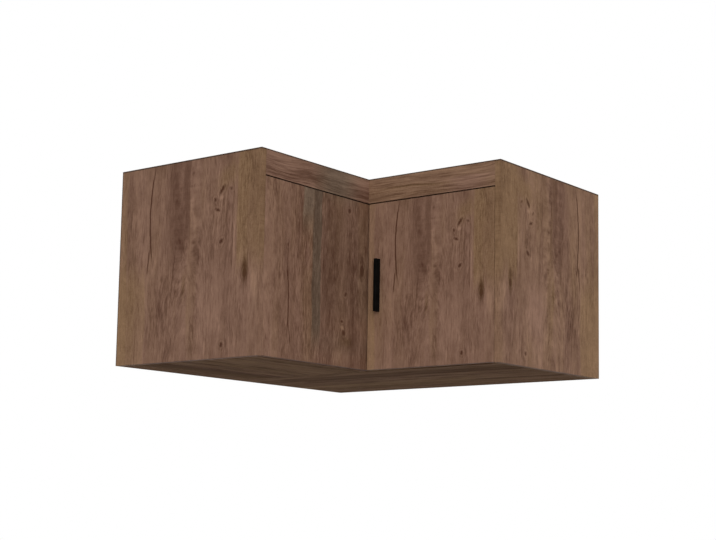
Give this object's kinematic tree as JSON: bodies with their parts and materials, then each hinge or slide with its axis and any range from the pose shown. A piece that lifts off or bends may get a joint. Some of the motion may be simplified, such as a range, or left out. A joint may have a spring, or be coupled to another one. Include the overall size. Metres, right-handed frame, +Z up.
{
  "type": "corner wall cabinet",
  "caption": "L-shaped corner wall cabinet with a hinged door on one wing, a fixed front on the other, a fascia over each, a shelf inside and a slim bar handle.",
  "frame": {"origin": "the corner of the two walls, level with the cabinet's underside", "axes": "+X along the back wall over the right wing, whose door faces -Y; -Y along the side wall over the left wing, whose fixed front faces +X; +Z up"},
  "size_m": [0.89, 0.89, 0.5],
  "materials": {
    "oak_front": "matt oak pattern laminate, brown, with knots and dark cracks",
    "oak_under": "matt oak pattern laminate, brown",
    "oak_inside": "matt oak pattern laminate, brown",
    "hardboard": "thin hardboard, pressed fibre",
    "black_metal": "matt black powder coat",
    "nickel_steel": "nickel plated pressed steel",
    "zinc_screws": "zinc plated steel",
    "cast_zinc": "die cast zinc",
    "beech": "bare beech, fluted",
    "clear_rubber": "clear soft plastic"
  },
  "bodies": {
    "carcass": {"side_panel_left": "oak_front", "side_panel_right": "oak_front", "fascia_left": "oak_front", "fascia_right": "oak_front", "corner_post": "oak_front", "fixed_front": "oak_front", "bottom_board_long": "oak_under", "bottom_board_short": "oak_under", "top_board_long": "oak_inside", "top_board_short": "oak_inside", "rear_post": "oak_inside", "hanging_rail_left": "oak_inside", "hanging_rail_right": "oak_inside", "shelf": "oak_inside", "back_panel_left": "hardboard", "back_panel_right": "hardboard", "hinge_arms": "nickel_steel", "hinge_pins": "nickel_steel", "hinge_plates": "nickel_steel", "hinge_arm_screws": "zinc_screws", "hinge_plate_screws": "zinc_screws", "cam_bolts": "zinc_screws", "shelf_pins": "zinc_screws", "back_nails": "zinc_screws", "fascia_bracket_screws": "zinc_screws", "fascia_brackets": "zinc_screws", "front_screws": "zinc_screws", "front_brackets": "zinc_screws", "front_bracket_screws": "zinc_screws", "cam_locks": "cast_zinc", "dowels": "beech", "door_bumpers": "clear_rubber"},
    "door": {"door": "oak_front", "handle_bar": "black_metal", "handle_screws": "zinc_screws", "hinge_cups": "nickel_steel", "hinge_cup_screws": "zinc_screws"},
    "links": {"hinge_links": "nickel_steel"}
  },
  "joints": [
    {"name": "door_swing", "type": "hinge", "parent": "carcass", "child": "door", "pos_m": [0.8725, -0.48, 0.21725], "axis": [0, 0, 1], "range_deg": [0, 110]},
    {"name": "link_turn", "type": "hinge", "parent": "carcass", "child": "links", "pos_m": [0.8703, -0.4611, 0.21725], "axis": [0, 0, 1], "range_deg": [0, 74]}
  ],
  "couplings": [
    {"joint": "link_turn", "follows": "door_swing", "ratio": 0.67}
  ]
}
